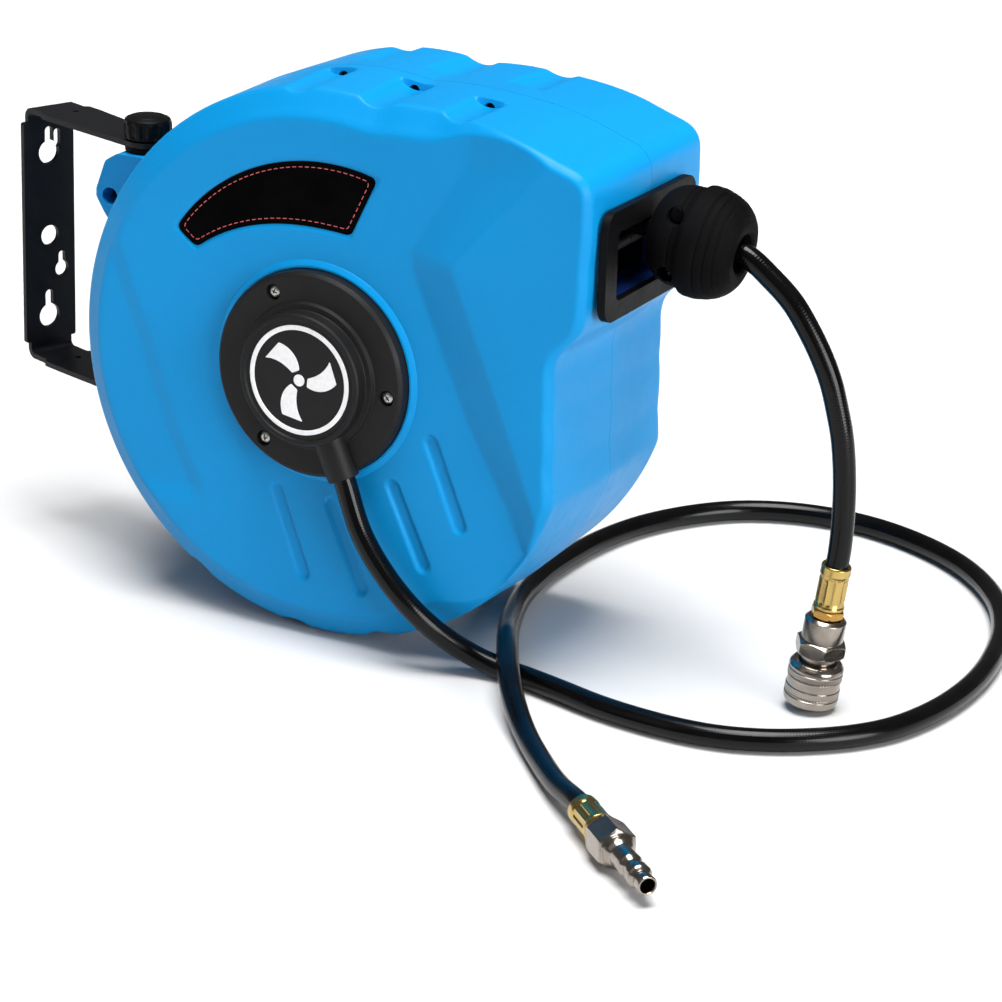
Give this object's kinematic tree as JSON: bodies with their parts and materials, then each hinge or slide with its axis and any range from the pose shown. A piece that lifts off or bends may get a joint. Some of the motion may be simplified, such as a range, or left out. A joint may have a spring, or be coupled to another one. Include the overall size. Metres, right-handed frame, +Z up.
{
  "type": "retractable air hose reel",
  "caption": "Wall-mounted retractable air hose reel: round split case turning on a U bracket, inlet hose with plug, delivery hose with stop ball and quick coupler.",
  "frame": {"origin": "on the back face of the bracket's plate, 12 mm above the plate's middle, on solid material", "axes": "+X out of the wall towards the case, +Z up, +Y sideways along the wall"},
  "size_m": [0.6054, 0.4546, 0.3032],
  "materials": {
    "case_blue": "moulded polypropylene, satin with a fine grain",
    "black_steel": "powder coat, satin black",
    "black_plastic": "fine grained black nylon",
    "rubber": "matte black rubber",
    "hose_black": "glossy black PVC over a braid",
    "brass": "bright turned and crimped brass",
    "nickel": "nickel plate, satin bright",
    "steel": "zinc plated",
    "spring_steel": "blued spring steel",
    "label": "black film with a thin red edge line",
    "white_print": "white print on black",
    "drum_plastic": "black moulded nylon"
  },
  "bodies": {
    "bracket": {"wall_bracket": "black_steel"},
    "pivot": {"pivot_rod": "steel", "pivot_knob": "black_plastic", "pivot_nut": "steel"},
    "case": {"housing_front": "case_blue", "housing_rear": "case_blue", "case_screw_1": "steel", "case_screw_2": "steel", "case_screw_3": "steel", "case_screw_4": "steel", "case_screw_5": "steel", "case_screw_6": "steel", "pivot_bush_upper": "black_plastic", "pivot_bush_lower": "black_plastic", "outlet_bezel": "black_plastic", "guide_pin_upper": "steel", "guide_pin_lower": "steel", "inlet_cover": "black_plastic", "inlet_badge": "white_print", "cover_screw_1": "steel", "cover_screw_2": "steel", "cover_screw_3": "steel", "label_plate": "label", "main_axle": "steel", "swivel_elbow": "brass", "swivel_seal": "rubber", "spring_arbor": "steel", "pawl_pin": "steel", "pawl_spring": "spring_steel", "inlet_hose": "hose_black", "inlet_ferrule": "brass", "inlet_nut": "brass", "inlet_plug": "nickel"},
    "drum": {"drum_core": "drum_plastic", "drum_flange_front": "drum_plastic", "drum_flange_rear": "drum_plastic", "drum_bush_front": "brass", "drum_bush_rear": "brass", "wound_hose": "hose_black", "ratchet_ring": "drum_plastic", "spring_case": "steel", "spring_cover": "steel", "main_spring": "spring_steel", "swivel_sleeve": "brass"},
    "hose": {"feed_hose": "hose_black", "stop_ball_front": "rubber", "stop_ball_rear": "rubber", "stop_ball_screw_1": "steel", "stop_ball_screw_2": "steel", "lead_hose": "hose_black", "lead_ferrule": "brass", "lead_nut": "brass", "coupler_body": "nickel"},
    "sleeve": {"coupler_sleeve": "nickel"},
    "roller_upper": {"guide_roller_upper": "drum_plastic"},
    "roller_lower": {"guide_roller_lower": "drum_plastic"},
    "pawl": {"pawl": "steel"}
  },
  "joints": [
    {"name": "case_swivel", "type": "hinge", "parent": "bracket", "child": "case", "pos_m": [0.1, 0, 0], "axis": [0, 0, 1], "range_deg": [-90, 45]},
    {"name": "pivot_turn", "type": "hinge", "parent": "bracket", "child": "pivot", "pos_m": [0.1, 0, 0], "axis": [0, 0, 1], "continuous": true},
    {"name": "drum_spin", "type": "hinge", "parent": "case", "child": "drum", "pos_m": [0.23593, 0.05327, -0.0295], "axis": [-0.3649, 0.9311, 0], "range_deg": [0, 19.5], "stiffness_Nm_per_rad": 0.5, "springref_deg": -85.94},
    {"name": "hose_payout", "type": "slide", "parent": "case", "child": "hose", "axis": [0.9291, 0.3641, -0.0651], "range_m": [0, 0.035]},
    {"name": "sleeve_pull", "type": "slide", "parent": "hose", "child": "sleeve", "axis": [0.1173, 0.046, 0.992], "range_m": [0, 0.0032], "stiffness_N_per_m": 800, "springref_m": -0.004},
    {"name": "roller_upper_spin", "type": "hinge", "parent": "case", "child": "roller_upper", "pos_m": [0.37379, 0.103, 0.07406], "axis": [-0.3649, 0.9311, 0], "continuous": true},
    {"name": "roller_lower_spin", "type": "hinge", "parent": "case", "child": "roller_lower", "pos_m": [0.37379, 0.103, 0.05226], "axis": [-0.3649, 0.9311, 0], "continuous": true},
    {"name": "pawl_lift", "type": "hinge", "parent": "case", "child": "pawl", "pos_m": [0.27709, 0.11269, -0.13342], "axis": [0.3649, -0.9311, 0], "range_deg": [0, 15], "stiffness_Nm_per_rad": 0.01, "springref_deg": -17.19}
  ],
  "couplings": [
    {"joint": "hose_payout", "follows": "drum_spin", "m_per_rad": 0.102}
  ]
}
